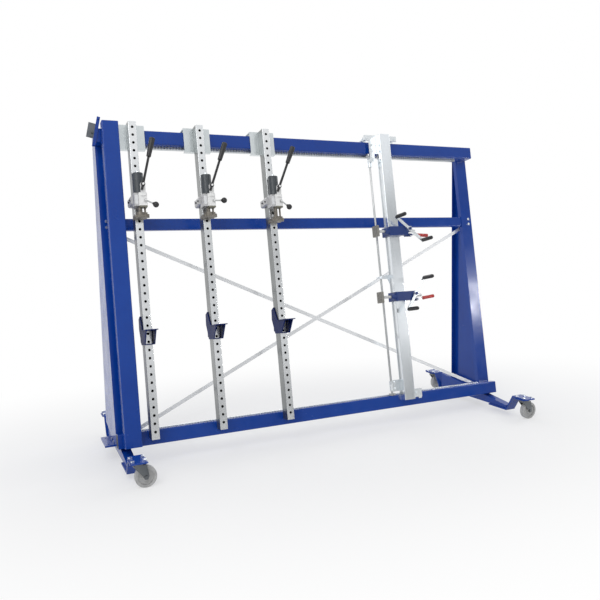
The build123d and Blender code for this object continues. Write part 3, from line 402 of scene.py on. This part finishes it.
# %% Dress the CAD solids
finish_of = {
    frame_blue: ["left_end_frame", "right_end_frame", "left_foot", "right_foot", "abutment_beam",
                 "top_rail", "middle_rail", "bottom_rail", "end_bracket"],
    rack_zinc: ["racks"],
    # The braces take the brightened zinc with its painted highlight.
    brace_zinc_painted_highlight: ["falling_brace", "rising_brace"],
    plate_zinc: ["frame_bolts", "post_carriage", "post_guide", "post_roller_left", "post_roller_right",
                 "clamp_crank_upper", "clamp_crank_lower", "clamp_lever_upper", "clamp_lever_lower"],
    post_zinc: ["post"],
    rod_steel: ["sync_shaft"],
    clamp_blue: ["clamp_body_upper", "clamp_body_lower"],
    pad_brown: ["clamp_rod_upper", "clamp_rod_lower"],
    fork_zinc: ["castor_fork_" + c for c in castors],
    # The wheels take the darkened nylon, with its painted shade.
    wheel_nylon: ["castor_wheel_" + c for c in castors],
}
per_beam = {"press_beam": beam_zinc, "beam_carriage": carriage_zinc, "press_block": block_alloy,
            "press_cylinder": cylinder_grey, "pump_lever": grip_black, "release_lever": rod_steel,
            # The supports take the darkened blue, with its painted shade.
            "press_head": head_iron, "beam_support": support_blue_painted_shade}
for part, finish in per_beam.items():
    finish_of.setdefault(finish, []).extend(f"{part}_{n}" for n in (1, 2, 3))
dressed = 0
for finish, names in finish_of.items():
    for name in names:
        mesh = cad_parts[name].data
        mesh.materials.clear()
        mesh.materials.append(finish)
        mesh.polygons.foreach_set("material_index", [0] * len(mesh.polygons))
        dressed += 1
print("dressed", dressed, "of", len(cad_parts), "solids")

# %% [markdown]
# Some solids show several finishes: the beams have painted shade on their sides and a painted shadow inside,
# so their holes read as holes, and the press blocks have an olive plate below and dark bolts. A CAD solid
# can't be cut here, but its faces can be sorted by where they lie on the leaning plane, and each face may
# point to another finish.

# %% Second finishes on parts of a solid


def second_finish(name, finish, belongs):
    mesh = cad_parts[name].data
    mesh.materials.append(finish)
    index = len(mesh.materials) - 1
    count = 0
    for face in mesh.polygons:
        if belongs(*lean_place(face.center)):
            face.material_index = index
            count += 1
    print(name, count, "faces in", finish.name)


for number, middle in enumerate(beam_places, 1):
    # Painted shadow inside the beam tubes, so the holes read dark.
    second_finish(f"press_beam_{number}", painted_shade_inside,
                  lambda x, depth, height: abs(x - middle) < 21.1 and 0.2 < depth < 76.1 and height < 2159)
    # Painted shade on the beam sides.
    second_finish(f"press_beam_{number}", side_zinc_painted_shade,
                  lambda x, depth, height: abs(x - middle) > 23.9 and 0.2 < depth < 79.8)
    second_finish(f"press_block_{number}", jaw_grey, lambda x, depth, height: x < middle - 8.1 or depth > -19)
    second_finish(f"press_block_{number}", olive_plate, lambda x, depth, height: height < 1607.9)
    second_finish(f"press_block_{number}", bolt_dark, lambda x, depth, height: x < middle - 47.1)
for name, (_, pad_face, _, _) in clamps.items():
    second_finish("clamp_rod_" + name, rod_steel,
                  lambda x, depth, height: x > post_place + pad_face + 31)
second_finish("racks", line_zinc, lambda x, depth, height: height < 1000)
tilt = math.radians(12.7)
second_finish("end_bracket", bracket_grey,
              lambda x, depth, height: (x + 1472) * math.cos(tilt) - (height - 2115) * math.sin(tilt) < -10.1)

# %% [markdown]
# Grips, knobs, caps and bearing rings are turned parts. A turned part is a profile of radius against
# place along an axis, swept round that axis. One helper sweeps any profile and closes both ends.

# %% Turned parts: helper


def turned(bm, profile, centre, axis, segments=32):
    axis = axis.normalized()
    side = axis.orthogonal().normalized()
    other = axis.cross(side)
    rings = []
    for radius, along in profile:
        ring = []
        for step in range(segments):
            angle = 2 * math.pi * step / segments
            out = side * math.cos(angle) + other * math.sin(angle)
            ring.append(bm.verts.new(centre + (out * radius + axis * along) / 1000))
        rings.append(ring)
    for first, second in zip(rings, rings[1:]):
        for step in range(segments):
            after = (step + 1) % segments
            bm.faces.new((first[step], first[after], second[after], second[step]))
    bm.faces.new(rings[0])
    bm.faces.new(rings[-1])


def finish_piece(name, bm, finish, body, sharp=35):
    bmesh.ops.remove_doubles(bm, verts=bm.verts, dist=1e-6)
    bmesh.ops.recalc_face_normals(bm, faces=bm.faces)
    mesh = bpy.data.meshes.new(name)
    bm.to_mesh(mesh)
    bm.free()
    mesh.shade_smooth()
    mesh.set_sharp_from_angle(angle=math.radians(sharp))
    mesh.materials.append(finish)
    piece = bpy.data.objects.new(name, mesh)
    bpy.context.collection.objects.link(piece)
    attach(piece, body)
    return piece


print("turning helper ready")

# %% [markdown]
# The crank grips are black sleeves with finger ridges, the levers have a smooth red sleeve, the release
# levers end in a ball knob on a short neck, and each cylinder carries a filler cap.

# %% Grips, knobs and caps
sleeve = [(8, -0.6), (11.5, -0.6), (13.1, 1.5)]
for ridge in range(9):
    start = 8 + 11 * ridge
    sleeve += [(13.1, start), (14.0, start + 2.5), (14.0, start + 6), (13.1, start + 8.5)]
sleeve += [(13.1, 110), (11.4, 114), (8.0, 115.8), (2.0, 116.2)]
red_sleeve = [(9, -0.5), (12.4, -0.5), (13.2, 1.5), (13.2, 8), (12.5, 10), (12.5, 88), (12.9, 94),
              (12.4, 98), (9.5, 100.6), (2, 101)]
CRANK_HALF = 137
RELEASE_REACH = 0.0675
for name, (height, _, crank_turn, lever_turn) in clamps.items():
    bm = bmesh.new()
    swing = math.radians(crank_turn)
    for end in (-CRANK_HALF, CRANK_HALF):
        x = post_place + 101 + end * math.cos(swing)
        turned(bm, sleeve, on_lean(x, -60, height + 12 + end * math.sin(swing)), FORWARD)
    finish_piece("crank_grips_" + name, bm, grip_black, "clamp_crank_" + name)
    bm = bmesh.new()
    lift = math.radians(lever_turn)
    aim = ALONG * math.cos(lift) + UP_BEAM * math.sin(lift)
    turned(bm, red_sleeve, on_lean(post_place + 130, -24, height - 28) + aim * 0.05, aim)
    finish_piece("red_grip_" + name, bm, grip_red, "clamp_lever_" + name)

ball = [(5.4, -23.0), (7.4, -22.4), (7.4, -17.4)]
ball += [(18.4 * math.cos(a), 18.4 * math.sin(a)) for a in (math.radians(d) for d in range(-55, 86, 10))]
ball += [(1.0, 18.4)]
cap = [(11.3, -0.2), (11.6, 1.5), (11.6, 11.5), (10.6, 14.3), (6.5, 14.9), (5.8, 16.5), (2, 16.8)]
release_turns = (-24.8, 1.3, -36.1)
for number, x in enumerate(beam_places, 1):
    lift = math.radians(release_turns[number - 1])
    aim = ALONG * math.cos(lift) + UP_BEAM * math.sin(lift)
    bm = bmesh.new()
    turned(bm, ball, on_lean(x + 29, -94, 1640) + aim * RELEASE_REACH, aim)
    finish_piece(f"release_knob_{number}", bm, grip_black, f"release_lever_{number}", 50)
    bm = bmesh.new()
    turned(bm, cap, on_lean(x, -50, 1816), UP_BEAM, 24)
    finish_piece(f"filler_cap_{number}", bm, plate_zinc, f"press_{number}")
print("turned pieces made")

# %% [markdown]
# Each castor has a pressed bearing race under its plate. The race is turned. It belongs to the fork, because
# it swivels with it.

# %% Castor races
race = [(24, 136), (35, 137), (37.5, 140), (37.5, 144), (35, 146), (35.5, 148), (34, 149.8), (20, 150.2)]
for corner, (side_x, side_y) in castors.items():
    bm = bmesh.new()
    turned(bm, race, Vector((side_x * 1.425, side_y * 0.5525, 0)), Vector((0, 0, 1)), 40)
    # The race takes the same darkened zinc, with its painted shade.
    finish_piece("castor_race_" + corner, bm, fork_zinc, "castor_" + corner)
print("castor races", len(castors))

# %% [markdown]
# The press blocks carry a pale strip and the rails are closed by moulded plugs. Both are thin plates
# with rounded corners, drawn as a rounded outline and given a thickness.

# %% Label strips and rail plugs


def rounded_plate(bm, centre, across, up, width, height, corner, thick, lift):
    normal = across.cross(up)
    outline = []
    for turn_x, turn_y, start in ((1, 1, 0), (-1, 1, 90), (-1, -1, 180), (1, -1, 270)):
        for step in range(6):
            angle = math.radians(start + 18 * step)
            x = turn_x * (width / 2 - corner) + corner * math.cos(angle)
            y = turn_y * (height / 2 - corner) + corner * math.sin(angle)
            outline.append((x, y))
    levels = []
    for offset, shrink in ((0, 1.0), (thick * 0.7, 1.0), (thick, 0.985)):
        ring = []
        for x, y in outline:
            spot = across * (x * shrink) + up * (y * shrink) + normal * (offset + lift)
            ring.append(bm.verts.new(centre + spot / 1000))
        levels.append(ring)
    count = len(outline)
    for first, second in zip(levels, levels[1:]):
        for step in range(count):
            after = (step + 1) % count
            bm.faces.new((first[step], first[after], second[after], second[step]))
    bm.faces.new(levels[0])
    bm.faces.new(levels[-1])


for number, x in enumerate(beam_places, 1):
    bm = bmesh.new()
    rounded_plate(bm, on_lean(x - 22, -76, 1648), ALONG, UP_BEAM, 18, 56, 2, 0.8, 0)
    finish_piece(f"block_strip_{number}", bm, label_pale, f"press_{number}")
bm = bmesh.new()
for height in (2095, 185):
    rounded_plate(bm, on_lean(-1475, 132, height), -BACKWARD, UP_BEAM, 71.6, 81.6, 3, 2.5, -2.0)
finish_piece("rail_plugs", bm, grip_black, "frame")
print("strips and plugs made")

# %% [markdown]
# Bolts repeat over the carriage and guide of the post, so a Geometry Nodes tree places them. It reads a
# cloud of points that carry an outward direction, puts a washer and a chamfered hex head on each, and
# realizes the copies. The result becomes one plain mesh that rides on the post.

# %% Bolt tree


def tree_with(name, sizes):
    tree = bpy.data.node_groups.new(name, "GeometryNodeTree")
    tree.interface.new_socket("Geometry", in_out="INPUT", socket_type="NodeSocketGeometry")
    for label, value in sizes.items():
        socket = tree.interface.new_socket(label, in_out="INPUT", socket_type="NodeSocketFloat")
        socket.default_value = value
    tree.interface.new_socket("Finish", in_out="INPUT", socket_type="NodeSocketMaterial")
    tree.interface.new_socket("Geometry", in_out="OUTPUT", socket_type="NodeSocketGeometry")
    return tree, tree.nodes.new("NodeGroupInput"), tree.nodes.new("NodeGroupOutput")


def close_tree(tree, given, result, instances):
    realize = tree.nodes.new("GeometryNodeRealizeInstances")
    paint = tree.nodes.new("GeometryNodeSetMaterial")
    tree.links.new(instances, realize.inputs[0])
    tree.links.new(realize.outputs[0], paint.inputs["Geometry"])
    tree.links.new(given.outputs["Finish"], paint.inputs["Material"])
    tree.links.new(paint.outputs[0], result.inputs[0])


def lifted(tree, geometry, height):
    move = tree.nodes.new("GeometryNodeTransform")
    up = tree.nodes.new("ShaderNodeCombineXYZ")
    tree.links.new(height, up.inputs["Z"])
    tree.links.new(geometry, move.inputs["Geometry"])
    tree.links.new(up.outputs[0], move.inputs["Translation"])
    return move.outputs[0]


def facing_points(tree, given):
    out = tree.nodes.new("GeometryNodeInputNamedAttribute")
    out.data_type = "FLOAT_VECTOR"
    out.inputs["Name"].default_value = "outward"
    align = tree.nodes.new("FunctionNodeAlignRotationToVector")
    align.axis = "Z"
    tree.links.new(out.outputs[0], align.inputs["Vector"])
    place = tree.nodes.new("GeometryNodeInstanceOnPoints")
    tree.links.new(given.outputs["Geometry"], place.inputs["Points"])
    tree.links.new(align.outputs[0], place.inputs["Rotation"])
    return place


plate_bolt = {"Head radius": 0.009, "Head height": 0.007, "Washer radius": 0.013}
bolt_tree, given, result = tree_with("hex_bolts", plate_bolt)
washer = add_node(bolt_tree, "GeometryNodeMeshCylinder", Vertices=20, Depth=0.002)
head = add_node(bolt_tree, "GeometryNodeMeshCylinder", Vertices=6)
chamfer = add_node(bolt_tree, "GeometryNodeMeshCone", Vertices=6, Depth=0.0012)
links = bolt_tree.links
links.new(given.outputs["Washer radius"], washer.inputs["Radius"])
links.new(given.outputs["Head radius"], head.inputs["Radius"])
links.new(given.outputs["Head height"], head.inputs["Depth"])
links.new(given.outputs["Head radius"], chamfer.inputs["Radius Bottom"])
links.new(maths(bolt_tree, "MULTIPLY", given.outputs["Head radius"], 0.84), chamfer.inputs["Radius Top"])
join = bolt_tree.nodes.new("GeometryNodeJoinGeometry")
links.new(washer.outputs["Mesh"], join.inputs[0])
half_head = maths(bolt_tree, "MULTIPLY", given.outputs["Head height"], 0.5)
links.new(lifted(bolt_tree, head.outputs["Mesh"], half_head), join.inputs[0])
links.new(lifted(bolt_tree, chamfer.outputs["Mesh"], given.outputs["Head height"]), join.inputs[0])
place = facing_points(bolt_tree, given)
links.new(join.outputs[0], place.inputs["Instance"])
close_tree(bolt_tree, given, result, place.outputs[0])
print("bolt tree nodes", len(bolt_tree.nodes))

# %% Grow a tree into a plain mesh


def grown(name, points, tree, sizes, finish, body):
    cloud = bpy.data.meshes.new(name + "_points")
    cloud.from_pydata([p for p, _ in points], [], [])
    outward = cloud.attributes.new("outward", "FLOAT_VECTOR", "POINT")
    outward.data.foreach_set("vector", [v for _, d in points for v in d])
    source = bpy.data.objects.new(name + "_points", cloud)
    bpy.context.collection.objects.link(source)
    modifier = source.modifiers.new("grow", "NODES")
    modifier.node_group = tree
    for item in tree.interface.items_tree:
        if item.in_out == "INPUT" and item.name in sizes:
            modifier[item.identifier] = sizes[item.name]
        if item.in_out == "INPUT" and item.name == "Finish":
            modifier[item.identifier] = finish
    ready = source.evaluated_get(bpy.context.evaluated_depsgraph_get())
    mesh = bpy.data.meshes.new_from_object(ready)
    mesh.name = name
    source.modifiers.remove(modifier)
    bpy.data.objects.remove(source)
    piece = bpy.data.objects.new(name, mesh)
    bpy.context.collection.objects.link(piece)
    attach(piece, body)
    print(name, len(mesh.polygons), "faces")
    return piece


bolt_places = ((-120, 2160), (120, 2160), (-84, 2110), (-84, 2064), (-84, 1998),
               (-84, 330), (-84, 282), (100, 232))
spots = [(on_lean(post_place + dx, 60, height), FORWARD) for dx, height in bolt_places]
grown("post_bolts", spots, bolt_tree, plate_bolt, plate_zinc, "post")

# %% [markdown]
# The clamp rods are racks: fine rings run along them. A second tree sets rings at equal steps.
# They stay just under the bore, so the rod still slides.

# %% Rod rings
rod_ring = {"Ring radius": 0.0102, "Ring width": 0.0028}
ring_tree, given, result = tree_with("rod_rings", rod_ring)
ring = add_node(ring_tree, "GeometryNodeMeshCylinder", Vertices=24)
ring_tree.links.new(given.outputs["Ring radius"], ring.inputs["Radius"])
ring_tree.links.new(given.outputs["Ring width"], ring.inputs["Depth"])
place = facing_points(ring_tree, given)
ring_tree.links.new(ring.outputs["Mesh"], place.inputs["Instance"])
close_tree(ring_tree, given, result, place.outputs[0])
for name, (height, face, _, _) in clamps.items():
    steps = range(face + 36, 160, 6)
    spots = [(on_lean(post_place + step, -25, height), ALONG) for step in steps]
    grown("rod_rings_" + name, spots, ring_tree, rod_ring, rod_steel, "clamp_rod_" + name)
